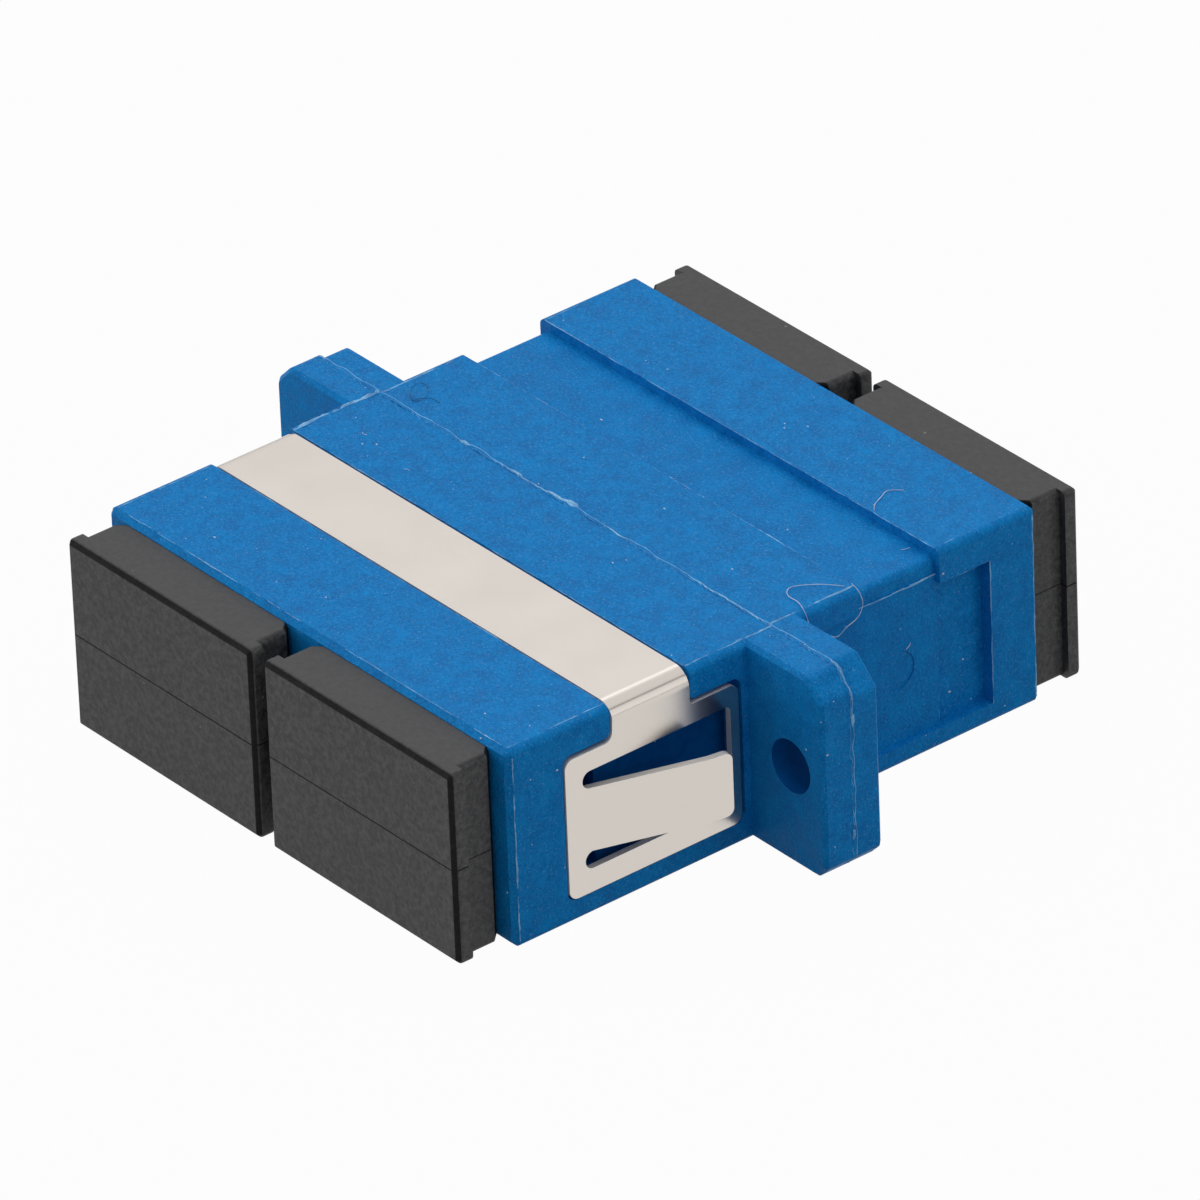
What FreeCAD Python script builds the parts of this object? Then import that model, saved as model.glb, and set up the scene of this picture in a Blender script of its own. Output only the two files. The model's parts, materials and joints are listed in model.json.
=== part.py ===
"""Duplex fibre adapter: two moulded halves welded at a screw flange, with a spring clip and dust caps.

Axes: X across the two ports, Y along the fibres (-Y is the front, the panel side), Z up. Millimetres.
Origin: midway between the two screw holes, on the flange's front face, which bears on the panel.
"""
import FreeCAD
import Part
import math
import os

V = FreeCAD.Vector

# ---- ports and the connector grid
port_pitch = 12.7            # centre to centre of the two channels
port_width = 9.0
port_height = 7.4
port_corner = 0.3
key_width = 2.3              # slot in the port's roof for the connector's key
key_depth = 0.5
key_end_wall = 0.4           # roof kept between the key slot's end and the recess over it
mouth_lead_in = 0.25         # chamfer round each port's mouth

# ---- housing
roof_wall = 0.9              # over and under the ports
front_side_wall = 1.95
rear_side_wall = 1.8
seam_to_mouth = 13.8         # each half, from the weld seam to its mouth
edge_radius = 0.33           # long edges of both halves
mouth_edge = 0.25            # chamfer between each end face and the outer walls

# ---- screw flange
front_flange = 1.55          # thickness moulded on the front half
rear_flange = 1.45           # thickness moulded on the rear half
screw_spacing = 30.7
screw_hole = 2.4
ear_margin = 2.0             # from a screw hole's centre to the end of its ear
front_ear_chamfer = 0.9      # top outer corner of an ear, front half's share
rear_ear_chamfer = 1.2       # the same on the rear half, set slightly further in
ear_foot_chamfer = 0.6       # bottom outer corner of an ear
ear_top_blend = 0.5          # radius where a top chamfer meets the ear's faces
ear_foot_blend = 0.3         # the same at the foot
ear_edge = 0.18              # chamfer along the ear's front and rear edges

# ---- spring clip
clip_sheet = 0.3
clip_proud = 0.05            # how far the sheet stands out of its recess
clip_centre = 5.0            # from the flange's front face to the middle of the clip
clip_band = 4.0              # width of the band over the top and of its two necks
clip_bend = 0.5              # inside radius at the top corners
plate_length = 8.9           # side plate, along Y
plate_top = 3.0              # height of the plate's upper edge
plate_foot = 3.5             # depth of its lower edge below the middle
plate_corner = 0.45
neck_front_round = 0.4       # inner corner between a neck and its plate, on the mouth's side
neck_rear_round = 0.15       # the same on the flange's side
slot_root = 0.86             # sheet left in front of the slots
slot_end = 0.43              # sheet left behind the slots
slot_rim_top = 0.89          # sheet left above the upper slot
slot_rim_foot = 1.08         # sheet left below the lower slot
slot_width = 0.8             # the slots end in a half round of this width
slot_corner = 0.28
tongue_angle = 18.0          # how far a tongue is sprung out of its plate, in degrees
tongue_length = 5.87         # from its root bend to its free end, measured along the plate
tongue_lip = 1.0             # last stretch, bent back towards the plate
tongue_lip_angle = 9.0       # how far the lip is bent back from the tongue's own line
tongue_corner = 0.35         # round on the free end's corners
tongue_root = 0.1            # the tongue's run into its plate
clip_gap = 0.07              # round the clip's edges in its recess
clip_seat = 0.02             # between the sheet and the plastic under it

# ---- pockets in the front half's sides
well_depth = 0.55            # room for the tongue, behind the plate's own seat
well_rim = 0.6               # seat left above and below the well
well_end = 0.3               # seat left behind it
core_depth = 0.5             # deeper step at the well's front, under the slots' round ends
core_front = 0.6             # from the plate's front edge to the deeper step
core_length = 1.5
pocket_headroom = 0.13       # extra height of the pocket over the plate
pocket_tail = 0.15           # extra length of the pocket behind the plate

# ---- rear half's relief
flush_zone = 4.4             # from the seam to the channel
channel_width = 4.25
channel_depth = 0.45         # in the top
channel_side = 0.34          # in the sides
channel_drop = 1.2           # how far it wraps down each side
channel_radius = 0.3
panel_depth = 0.28           # shallow recess in the side
panel_foot = 0.92            # wall left under it
window_depth = 0.62          # deeper recess behind the shallow one
window_length = 2.65
window_top = 1.54            # below the housing's top
gate_diameter = 1.8          # moulding mark in the shallow recess
gate_depth = 0.05
gate_offset = 6.53           # from the seam
gate_drop = 0.3              # below the housing's middle

# ---- latch inserts
insert_base_width = 10.2
insert_base_height = 8.0
insert_base = 1.3            # thickness of the base plate
insert_gap = 0.05            # round the base plate in its pocket
tube_outer = 4.7
sleeve_gap = 0.075           # radial room round a sleeve in its tube
tube_lip = 0.5               # inward lip that keeps the sleeve in
tube_mouth = 2.9             # bore of the lip
arm_thickness = 0.75
arm_height = 3.0
arm_wall_gap = 0.25          # between an arm and the port's side
arm_tip_depth = 5.0          # from the mouth in to the arm's tip
hook_depth = 0.75
hook_length = 1.5
hook_slope = 0.9             # length of the hook's front slope

# ---- alignment sleeves
sleeve_bore = 2.5
sleeve_wall = 0.35
sleeve_length = 11.4
sleeve_slit = 0.5
sleeve_end_gap = 0.15        # between a sleeve's end and the tube's lip

# ---- dust caps
cap_gap = 0.75               # between two neighbouring caps
cap_height = 8.86
cap_plate = 0.73
cap_reach = 2.5              # from the housing's mouth to the cap's outer face
cap_corner = 0.25
cap_face_edge = 0.2          # chamfer on the outer face's edges
neck_inset = 0.37            # each side of the neck, in from the end plate
cap_seat = 0.03              # between the neck and the housing's mouth
cap_drop = 0.09              # the cap sits this far below the port's middle, in its clearance
plug_gap = 0.12              # each side, in the port
plug_length = 4.2            # inside the port
plug_corner = 0.5
plug_end_edge = 0.25         # chamfer round the plug's inner end
plug_wall = 0.9
cap_hollow_end = 1.2         # solid left behind the plug's hollow

# ---- places that follow from the sizes above
body_height = port_height + 2 * roof_wall
top = body_height / 2
seam_y = front_flange
front_mouth = seam_y - seam_to_mouth
rear_mouth = seam_y + seam_to_mouth
front_width = port_pitch + port_width + 2 * front_side_wall
rear_width = port_pitch + port_width + 2 * rear_side_wall
flange_width = screw_spacing + 2 * ear_margin
rear_flange_face = seam_y + rear_flange
channels = {"left": -port_pitch / 2, "right": port_pitch / 2}
clip_width = front_width + 2 * clip_proud
clip_height = body_height + 2 * clip_proud
recess = clip_sheet + clip_seat - clip_proud
front_land = -front_mouth - clip_centre - clip_band / 2 - clip_gap
rear_land = seam_to_mouth - flush_zone - channel_width
key_length = min(front_land, rear_land) - key_end_wall
arm_reach = seam_to_mouth - arm_tip_depth
cap_width = port_pitch - cap_gap


def profile(points, y, radii=0.0):
    """Closed wire in the XZ plane at y through (x, z) points, each corner rounded by its radius."""
    count = len(points)
    if not isinstance(radii, (list, tuple)):
        radii = [radii] * count
    corners = [V(x, y, z) for x, z in points]
    starts, ends, edges = [], [], []
    for i, corner in enumerate(corners):
        back = corners[i - 1] - corner
        ahead = corners[(i + 1) % count] - corner
        back_len, ahead_len = back.Length, ahead.Length
        back.normalize()
        ahead.normalize()
        half = back.getAngle(ahead) / 2
        trim = min(radii[i] / math.tan(half), 0.49 * back_len, 0.49 * ahead_len)
        start, end = corner + back * trim, corner + ahead * trim
        if trim > 1e-6:
            radius = trim * math.tan(half)
            inward = (back + ahead).normalize()
            middle = corner + inward * (radius / math.sin(half) - radius)
            edges.append((i, Part.Arc(start, middle, end).toShape()))
        starts.append(start)
        ends.append(end)
    for i in range(count):
        following = (i + 1) % count
        if ends[i].distanceToPoint(starts[following]) > 1e-6:
            edges.append((i + 0.5, Part.LineSegment(ends[i], starts[following]).toShape()))
    edges.sort(key=lambda item: item[0])
    return Part.Wire([edge for _, edge in edges])


def rectangle(width, height, centre_x=0.0, centre_z=0.0):
    """Corner points of an upright rectangle, anticlockwise from its lower left."""
    x0, x1 = centre_x - width / 2, centre_x + width / 2
    z0, z1 = centre_z - height / 2, centre_z + height / 2
    return [(x0, z0), (x1, z0), (x1, z1), (x0, z1)]


def bar(points, y0, y1, radii=0.0):
    """A profile pushed along Y from y0 to y1."""
    face = Part.Face(profile(points, y0, radii))
    return face.extrude(V(0, y1 - y0, 0))


def taper(points0, y0, points1, y1):
    """A straight-sided loft between two profiles, for chamfers and lead-ins."""
    return Part.makeLoft([profile(points0, y0), profile(points1, y1)], True, True)


def block(x0, x1, y0, y1, z0, z1):
    """A box between two corners, in any order."""
    low = V(min(x0, x1), min(y0, y1), min(z0, z1))
    return Part.makeBox(abs(x1 - x0), abs(y1 - y0), abs(z1 - z0), low)


def side_bar(points, x0, x1, radii=0.0):
    """A profile of (y, z) points pushed along X from x0 to x1."""
    shape = bar(points, -x1, -x0, radii)
    shape.rotate(V(0, 0, 0), V(0, 0, 1), 90)
    return shape


def rod(diameter, x, z, y0, y1):
    """A round bar along Y."""
    return Part.makeCylinder(diameter / 2, abs(y1 - y0), V(x, min(y0, y1), z), V(0, 1, 0))


def mirror_x(shape):
    return shape.mirror(V(0, 0, 0), V(1, 0, 0))


def to_rear(shape):
    """A front piece turned half round about the upright axis through the seam."""
    turned = shape.copy()
    turned.rotate(V(0, seam_y, 0), V(0, 0, 1), 180)
    return turned


def ring_edges(shape, y):
    """Edges of a shape that lie in the plane at y."""
    return [e for e in shape.Edges if abs(e.BoundBox.YMin - y) < 1e-5 and abs(e.BoundBox.YMax - y) < 1e-5]


# ---------------------------------------------------------------- housing

def flange_slab(face_y, chamfer):
    """One half's share of the flange, from the seam to its face, with that face's edges broken."""
    half = flange_width / 2
    outline = [
        (-half + ear_foot_chamfer, -top), (half - ear_foot_chamfer, -top),
        (half, -top + ear_foot_chamfer), (half, top - chamfer),
        (half - chamfer, top), (-half + chamfer, top),
        (-half, top - chamfer), (-half, -top + ear_foot_chamfer),
    ]
    blends = [ear_foot_blend] * 3 + [ear_top_blend] * 4 + [ear_foot_blend]
    slab = bar(outline, min(face_y, seam_y), max(face_y, seam_y), blends)
    return slab.makeChamfer(ear_edge, ring_edges(slab, face_y))


def housing_half(width, mouth_y, flange_face, chamfer):
    """Outer form of one half, before its pockets: a rounded bar with its share of the flange."""
    body = bar(rectangle(width, body_height), mouth_y, seam_y, edge_radius)
    body = body.makeChamfer(mouth_edge, ring_edges(body, mouth_y))
    half = body.fuse(flange_slab(flange_face, chamfer))
    for x in (-screw_spacing / 2, screw_spacing / 2):
        half = half.cut(rod(screw_hole, x, 0, seam_y - 2 * front_flange, seam_y + 2 * rear_flange))
    return half


def port_space(x, mouth_y):
    """Everything cut away for one port of one half: opening, lead-in, key slot and insert pocket."""
    inward = 1 if mouth_y < seam_y else -1
    past = mouth_y - inward
    opening = rectangle(port_width, port_height, x)
    space = bar(opening, min(past, seam_y + inward), max(past, seam_y + inward), port_corner)
    wide = rectangle(port_width + 2 * mouth_lead_in, port_height + 2 * mouth_lead_in, x)
    lead = taper(wide, mouth_y, opening, mouth_y + inward * mouth_lead_in)
    key = block(x - key_width / 2, x + key_width / 2, past, mouth_y + inward * key_length,
                0, port_height / 2 + key_depth)
    pocket = bar(rectangle(insert_base_width + 2 * insert_gap, insert_base_height + 2 * insert_gap, x),
                 seam_y - inward * (insert_base + insert_gap), seam_y + inward)
    return space.fuse([lead, key, pocket])


def side_outline(margin=0.0, headroom=0.0, tail=0.0):
    """Points and corner radii of a side plate with its neck, grown by margin, as (y, z) pairs."""
    neck0 = -clip_centre - clip_band / 2 - margin
    neck1 = -clip_centre + clip_band / 2 + margin
    plate0 = -clip_centre - plate_length / 2 - margin
    plate1 = -clip_centre + plate_length / 2 + margin + tail
    foot = -plate_foot - margin
    shoulder = plate_top + margin + headroom
    neck_end = clip_height / 2 - clip_sheet - clip_bend
    points = [(plate0, foot), (plate1, foot), (plate1, shoulder), (neck1, shoulder),
              (neck1, neck_end), (neck0, neck_end), (neck0, shoulder), (plate0, shoulder)]
    return points, [plate_corner] * 3 + [neck_rear_round, 0, 0, neck_front_round, plate_corner]


def clip_seat_cut():
    """Recess of the clip in the front half: the band over the top, the necks and the side pockets."""
    band0 = -clip_centre - clip_band / 2 - clip_gap
    band1 = -clip_centre + clip_band / 2 + clip_gap
    half = front_width / 2
    points, radii = side_outline(clip_gap, pocket_headroom, pocket_tail)
    foot, shoulder, neck_end = points[0][1], points[2][1], points[4][1]
    plate0, plate1 = points[0][0], points[1][0]
    outer = block(-half - 1, half + 1, band0, band1, neck_end - clip_sheet, top + 1)
    inner = bar(rectangle(front_width - 2 * recess, body_height - 2 * recess),
                band0 - 1, band1 + 1, clip_bend - clip_seat)
    cut = outer.cut(inner)
    core0 = plate0 + clip_gap + core_front
    for side in (-1, 1):
        seat_x, well_x = half - recess, half - recess - well_depth
        edges = sorted((side * seat_x, side * (half + 1)))
        seat = side_bar(points, edges[0], edges[1], radii)
        well = block(side * well_x, side * (half + 1), core0, plate1 - well_end,
                     foot + well_rim, shoulder - well_rim)
        core = block(side * (well_x - core_depth), side * (half + 1), core0, core0 + core_length,
                     foot + well_rim, shoulder - well_rim)
        cut = cut.fuse([seat, well, core])
    return cut


def front_housing():
    half = housing_half(front_width, front_mouth, 0.0, front_ear_chamfer)
    for x in channels.values():
        half = half.cut(port_space(x, front_mouth))
    return half.cut(clip_seat_cut())


def rear_relief():
    """Channel over the top and down the sides, side recesses and the moulding mark of the rear half."""
    y0 = seam_y + flush_zone
    y1 = y0 + channel_width
    half = rear_width / 2
    outer = block(-half - 1, half + 1, y0, y1, top - channel_drop, top + 1)
    inner = bar(rectangle(rear_width - 2 * channel_side, body_height - 2 * channel_depth),
                y0 - 1, y1 + 1, channel_radius)
    cut = outer.cut(inner)
    foot = -top + panel_foot
    for side in (-1, 1):
        panel = block(side * (half - panel_depth), side * (half + 1),
                      rear_flange_face, y1, foot, top - channel_drop)
        window = block(side * (half - window_depth), side * (half + 1),
                       y1, y1 + window_length, foot, top - window_top)
        gate = V(side * (half - panel_depth - gate_depth), seam_y + gate_offset, -gate_drop)
        mark = Part.makeCylinder(gate_diameter / 2, gate_depth + 1, gate, V(side, 0, 0))
        cut = cut.fuse([panel, window, mark])
    return cut


def rear_housing():
    half = housing_half(rear_width, rear_mouth, rear_flange_face, rear_ear_chamfer)
    relief = rear_relief()
    for x in channels.values():
        half = half.cut(port_space(x, rear_mouth))
    return half.cut(relief)


# ---------------------------------------------------------------- spring clip

def side_window():
    """The U-shaped slot in both side plates, as a bar along X: two round-ended legs and their bridge."""
    z1 = plate_top - slot_rim_top
    z0 = -plate_foot + slot_rim_foot
    root, end = root_y(), -clip_centre + plate_length / 2 - slot_end
    corners = [0, slot_corner, slot_corner, 0]
    opening = side_bar([(root, z0), (end, z0), (end, z1), (root, z1)], -clip_width, clip_width, corners)
    for z in (z0 + slot_width / 2, z1 - slot_width / 2):
        leg_end = Part.makeCylinder(slot_width / 2, 2 * clip_width, V(-clip_width, root, z), V(1, 0, 0))
        opening = opening.fuse(leg_end)
    return opening


def root_y():
    """Where the tongues bend out of their plates: level with the centres of the slots' round ends."""
    return -clip_centre - plate_length / 2 + slot_root + slot_width / 2


def tongue(x_out):
    """The sprung tongue of the right side plate, drawn as a strip bent in plan and pushed up Z."""
    z1 = plate_top - slot_rim_top - slot_width
    z0 = -plate_foot + slot_rim_foot + slot_width
    root = root_y()
    lean = math.radians(tongue_angle)
    back = math.radians(tongue_angle - tongue_lip_angle)
    first = tongue_length - tongue_lip
    middle = [(x_out - clip_sheet / 2, root - tongue_root), (x_out - clip_sheet / 2, root)]
    middle.append((middle[-1][0] + first * math.tan(lean), root + first))
    middle.append((middle[-1][0] + tongue_lip * math.tan(back), root + tongue_length))
    strip = thick_line(middle, clip_sheet, z0, z1)
    end_edges = [e for e in strip.Edges
                 if abs(e.BoundBox.YMin - strip.BoundBox.YMax) < clip_sheet
                 and e.BoundBox.ZLength < 1e-6 and e.Length < 1.5 * clip_sheet]
    return strip.makeFillet(tongue_corner, end_edges)


def thick_line(middle, thickness, z0, z1):
    """A bent sheet on edge: a line in plan given a thickness, and pushed up from z0 to z1."""
    sides = ([], [])
    for i, (x, y) in enumerate(middle):
        before = middle[max(i - 1, 0)]
        after = middle[min(i + 1, len(middle) - 1)]
        run_in = math.atan2(y - before[1], x - before[0]) if i else None
        run_out = math.atan2(after[1] - y, after[0] - x) if i < len(middle) - 1 else None
        if run_in is None:
            run_in = run_out
        if run_out is None:
            run_out = run_in
        mean = (run_in + run_out) / 2
        offset = thickness / 2 / math.cos((run_out - run_in) / 2)
        for side, points in zip((1, -1), sides):
            points.append(V(x - side * offset * math.sin(mean), y + side * offset * math.cos(mean), z0))
    outline = sides[0] + sides[1][::-1]
    return Part.Face(Part.makePolygon(outline + outline[:1])).extrude(V(0, 0, z1 - z0))


def spring_clip():
    outer_x = clip_width / 2
    band = bar(rectangle(clip_width, clip_height), -clip_centre - clip_band / 2,
               -clip_centre + clip_band / 2, clip_bend + clip_sheet)
    inside = bar(rectangle(clip_width - 2 * clip_sheet, clip_height - 2 * clip_sheet),
                 -clip_centre - clip_band, -clip_centre + clip_band, clip_bend)
    points, radii = side_outline()
    neck_end = points[4][1]
    clip = band.cut(inside).cut(block(-outer_x - 1, outer_x + 1, -clip_centre - clip_band,
                                      -clip_centre + clip_band, neck_end - clip_sheet, -top - 1))
    for x0 in (-outer_x, outer_x - clip_sheet):
        clip = clip.fuse(side_bar(points, x0, x0 + clip_sheet, radii))
    clip = clip.cut(side_window())
    leaf = tongue(outer_x)
    return clip.fuse([leaf, mirror_x(leaf)]).removeSplitter()


# ---------------------------------------------------------------- latch inserts and sleeves

def latch_insert(x):
    """Front insert of one channel: base plate, sleeve tube and two hooked arms."""
    base_y = seam_y - insert_base
    shape = bar(rectangle(insert_base_width, insert_base_height, x), base_y, seam_y)
    tube_end = seam_y - sleeve_length / 2 - sleeve_end_gap - tube_lip
    shape = shape.fuse(rod(tube_outer, x, 0, tube_end, seam_y))
    arm_out = port_width / 2 - arm_wall_gap
    tip = seam_y - arm_reach
    for side in (-1, 1):
        outline = [
            (x + side * arm_out, base_y), (x + side * (arm_out - arm_thickness), base_y),
            (x + side * (arm_out - arm_thickness), tip + hook_length),
            (x + side * (arm_out - arm_thickness - hook_depth), tip + hook_slope),
            (x + side * (arm_out - arm_thickness), tip), (x + side * arm_out, tip),
        ]
        points = [V(px, py, -arm_height / 2) for px, py in outline]
        arm = Part.Face(Part.makePolygon(points + points[:1])).extrude(V(0, 0, arm_height))
        shape = shape.fuse(arm)
    bore = sleeve_bore + 2 * sleeve_wall + 2 * sleeve_gap
    shape = shape.cut(rod(bore, x, 0, tube_end + tube_lip, seam_y + 1))
    return shape.cut(rod(tube_mouth, x, 0, tube_end - 1, seam_y + 1)).removeSplitter()


def split_sleeve(x):
    """A thin ceramic tube with one slit along its underside."""
    y0, y1 = seam_y - sleeve_length / 2, seam_y + sleeve_length / 2
    outer = sleeve_bore + 2 * sleeve_wall
    tube = rod(outer, x, 0, y0, y1).cut(rod(sleeve_bore, x, 0, y0 - 1, y1 + 1))
    return tube.cut(block(x - sleeve_slit / 2, x + sleeve_slit / 2, y0 - 1, y1 + 1, -outer, 0))


# ---------------------------------------------------------------- dust caps

def dust_cap(x):
    """Front cap of one channel: end plate, narrower neck and a hollow plug in the port."""
    face_y = front_mouth - cap_reach
    plate_back = face_y + cap_plate
    plate = bar(rectangle(cap_width, cap_height, x, -cap_drop), face_y, plate_back, cap_corner)
    plate = plate.makeChamfer(cap_face_edge, ring_edges(plate, face_y))
    neck = bar(rectangle(cap_width - 2 * neck_inset, cap_height, x, -cap_drop),
               plate_back, front_mouth - cap_seat, cap_corner)
    plug_width = port_width - 2 * plug_gap
    plug_height = port_height - 2 * plug_gap
    plug_end = front_mouth + plug_length
    plug = bar(rectangle(plug_width, plug_height, x, -cap_drop),
               front_mouth - cap_seat, plug_end, plug_corner)
    plug = plug.makeChamfer(plug_end_edge, ring_edges(plug, plug_end))
    hollow = bar(rectangle(plug_width - 2 * plug_wall, plug_height - 2 * plug_wall, x, -cap_drop),
                 face_y + cap_hollow_end, plug_end + 1)
    return plate.fuse([neck, plug]).cut(hollow).removeSplitter()


# ---------------------------------------------------------------- files

def main():
    os.makedirs("parts", exist_ok=True)
    nodes = {
        "front_housing": front_housing(),
        "rear_housing": rear_housing(),
        "spring_clip": spring_clip(),
    }
    for side, x in channels.items():
        cap, latch = dust_cap(x), latch_insert(x)
        nodes["front_" + side + "_cap"] = cap
        nodes["front_" + side + "_latch"] = latch
        nodes[side + "_sleeve"] = split_sleeve(x)
    for side, x in channels.items():
        nodes["rear_" + side + "_cap"] = to_rear(dust_cap(-x))
        nodes["rear_" + side + "_latch"] = to_rear(latch_insert(-x))
    for name, shape in nodes.items():
        if len(shape.Solids) == 1:
            shape = shape.Solids[0]
        shape.exportStep("parts/" + name + ".step")
        print(name, len(shape.Solids), "solid,", round(shape.Volume, 2), "mm3, valid", shape.isValid())


main()
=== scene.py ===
"""Looks of a duplex fibre adapter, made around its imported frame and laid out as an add-on.

Two blue moulded halves welded at a screw flange, a bright steel panel clip and four black
dust caps. Constants that are lengths, and names that end in _mm, are in millimetres unless a
comment says otherwise.
"""
import json
import math
import random

import bmesh
import bpy
from bpy.props import FloatProperty, FloatVectorProperty, PointerProperty
from bpy.types import Operator, Panel, PropertyGroup
from mathutils import Matrix, Vector, noise
from mathutils.bvhtree import BVHTree


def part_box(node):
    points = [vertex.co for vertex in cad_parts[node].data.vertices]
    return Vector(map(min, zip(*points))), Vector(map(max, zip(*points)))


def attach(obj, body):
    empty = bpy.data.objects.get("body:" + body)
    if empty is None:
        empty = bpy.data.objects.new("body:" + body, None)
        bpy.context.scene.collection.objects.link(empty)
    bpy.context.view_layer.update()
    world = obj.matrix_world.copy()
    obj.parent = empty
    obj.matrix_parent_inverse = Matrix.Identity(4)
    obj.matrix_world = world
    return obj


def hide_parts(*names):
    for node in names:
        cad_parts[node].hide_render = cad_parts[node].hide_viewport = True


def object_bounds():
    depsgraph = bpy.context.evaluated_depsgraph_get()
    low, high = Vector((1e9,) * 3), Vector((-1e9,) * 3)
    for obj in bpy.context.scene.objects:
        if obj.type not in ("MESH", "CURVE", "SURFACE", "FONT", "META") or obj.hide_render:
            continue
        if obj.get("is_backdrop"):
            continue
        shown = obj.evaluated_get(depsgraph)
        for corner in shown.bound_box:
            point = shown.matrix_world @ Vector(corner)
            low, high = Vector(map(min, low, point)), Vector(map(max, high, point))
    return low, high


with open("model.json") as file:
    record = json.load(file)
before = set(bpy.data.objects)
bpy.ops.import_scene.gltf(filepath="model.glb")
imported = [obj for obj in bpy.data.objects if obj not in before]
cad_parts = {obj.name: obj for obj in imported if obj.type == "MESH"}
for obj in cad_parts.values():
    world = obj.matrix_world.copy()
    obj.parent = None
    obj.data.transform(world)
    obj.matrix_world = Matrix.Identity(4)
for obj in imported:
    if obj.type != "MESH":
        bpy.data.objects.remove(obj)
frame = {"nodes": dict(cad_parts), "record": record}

bl_info = {
    "name": "Fibre adapter looks",
    "version": (1, 0, 0),
    "blender": (4, 5, 0),
    "location": "3D View > Sidebar > Adapter",
    "description": "Finishes a fibre adapter's moulded halves, panel clip, caps and inner parts",
    "category": "Object",
}

MM = 0.001
NEAR = 0.001                              # places closer than this are one place
CAD_BOX = [list(corner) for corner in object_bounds()]      # in metres
HOUSINGS = ("front_housing", "rear_housing")
CAPS = tuple(name for name in frame["nodes"] if name.endswith("_cap"))
LATCHES = tuple(name for name in frame["nodes"] if name.endswith("_latch"))
SLEEVES = tuple(name for name in frame["nodes"] if name.endswith("_sleeve"))
ROOT = "adapter"                          # the body that all but the caps ride on

# places on the housing halves: X to the right, Y from front to rear, Z up
TOP = 4.6                                 # the upper face
SEAM = 1.55                               # where the halves are welded
FRONT_SIDE, REAR_SIDE = 12.8, 12.65       # half widths
FRONT_MOUTH, REAR_MOUTH = -12.25, 15.35   # the faces that the ports open in
EDGE = 0.33                               # radius of the long edges
MOUTH_EDGE = 0.25                         # chamfer round the mouths
CLIP_BAND = (-7.07, -2.93)                # recess of the clip's band
CHANNEL = (5.95, 10.2)                    # recess across the rear half
PANEL_SIDE, PANEL_TOP, PANEL_FOOT = 12.37, 3.4, -3.68    # sunk panel of the rear half's side
WINDOW_END, WINDOW_TOP = 12.85, 3.06      # deeper window in that panel

# corners between two faces, by the angle in degrees that the faces turn there
BLUNT_CORNERS = (40.0, 60.0)
SQUARE_CORNERS = (60.0, 180.0)

# camera: the point looked at, its azimuth from -Y towards +X, elevation and roll in degrees,
# how far off it stands, and its focal length
VIEW_AIM = (0.543, 2.356, 0.119)
VIEW_ANGLES = (51.785, 31.333, -2.344)
VIEW_DISTANCE = 627.48
VIEW_LENS = 465.34

# studio light: the sky's strength at the horizon and overhead, then each softbox's place and
# side in metres and its brightness, where 1 is the brightness of a fully lit white sheet
HORIZON, ZENITH = 0.42, 0.29
LAMPS = (
    ("softbox_top", (-0.04, 0.06, 0.50), 1.00, 0.68),
    ("softbox_back_left", (-0.50, 0.40, 0.36), 0.60, 0.66),
    ("softbox_front_left", (-0.46, -0.42, 0.22), 0.45, 1.65),
    ("softbox_back_right", (0.62, 0.44, 0.28), 0.50, 0.80),
)


# ---------------------------------------------------------------- shared helpers

def linear(code):
    """An sRGB hex colour as linear red, green, blue and alpha."""
    channels = [int(code[i:i + 2], 16) / 255 for i in (1, 3, 5)]
    return [c / 12.92 if c <= 0.04045 else ((c + 0.055) / 1.055) ** 2.4 for c in channels] + [1.0]


def add_node(tree, kind, settings=(), values=(), links=()):
    """Add one node with its settings, socket values and links from (node, output) pairs."""
    node = tree.nodes.new(kind)
    for name, value in dict(settings).items():
        setattr(node, name, value)
    for socket, value in dict(values).items():
        node.inputs[socket].default_value = value
    for socket, (source, output) in dict(links).items():
        tree.links.new(source.outputs[output], node.inputs[socket])
    return node


def start_material(name, values):
    """A material with one Principled shader, its tree, that shader and the coordinates' node."""
    material = bpy.data.materials.new(name)
    material.use_nodes = True
    tree = material.node_tree
    shader = tree.nodes["Principled BSDF"]
    for socket, value in values.items():
        shader.inputs[socket].default_value = value
    place = add_node(tree, "ShaderNodeTexCoord")
    return material, tree, shader, place


def per_metre(size_mm):
    """Noise scale whose pattern repeats about every size_mm, on coordinates in metres."""
    return 1.0 / (size_mm * MM)


def give_material(piece, *materials):
    """Fill the piece's material slots, and keep which face has which."""
    slots = piece.data.materials
    for i, material in enumerate(materials):
        if i < len(slots):
            slots[i] = material
        else:
            slots.append(material)


def add_piece(name, mesh, body, replaced=()):
    """Link a finished mesh as a piece that rides on a body, in place of the frame nodes it
    replaces.
    """
    piece = bpy.data.objects.new(name, mesh)
    bpy.context.scene.collection.objects.link(piece)
    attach(piece, body)
    if replaced:
        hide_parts(*replaced)
    return piece


def merged_copy(node_name):
    """A bmesh of a frame node with its loose triangles joined and its flat faces made whole."""
    join_mm, flat_degrees = 0.0005, 0.6
    shape = bmesh.new()
    shape.from_mesh(frame["nodes"][node_name].data)
    bmesh.ops.remove_doubles(shape, verts=shape.verts, dist=join_mm * MM)
    bmesh.ops.dissolve_limit(shape, angle_limit=math.radians(flat_degrees),
                             use_dissolve_boundaries=False, verts=shape.verts, edges=shape.edges)
    return shape


def cut_across(shape, place, normal):
    """Cut every face of a shape along a plane, and keep both sides."""
    everything = list(shape.verts) + list(shape.edges) + list(shape.faces)
    bmesh.ops.bisect_plane(shape, geom=everything, dist=1e-9, plane_co=place, plane_no=normal)


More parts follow.
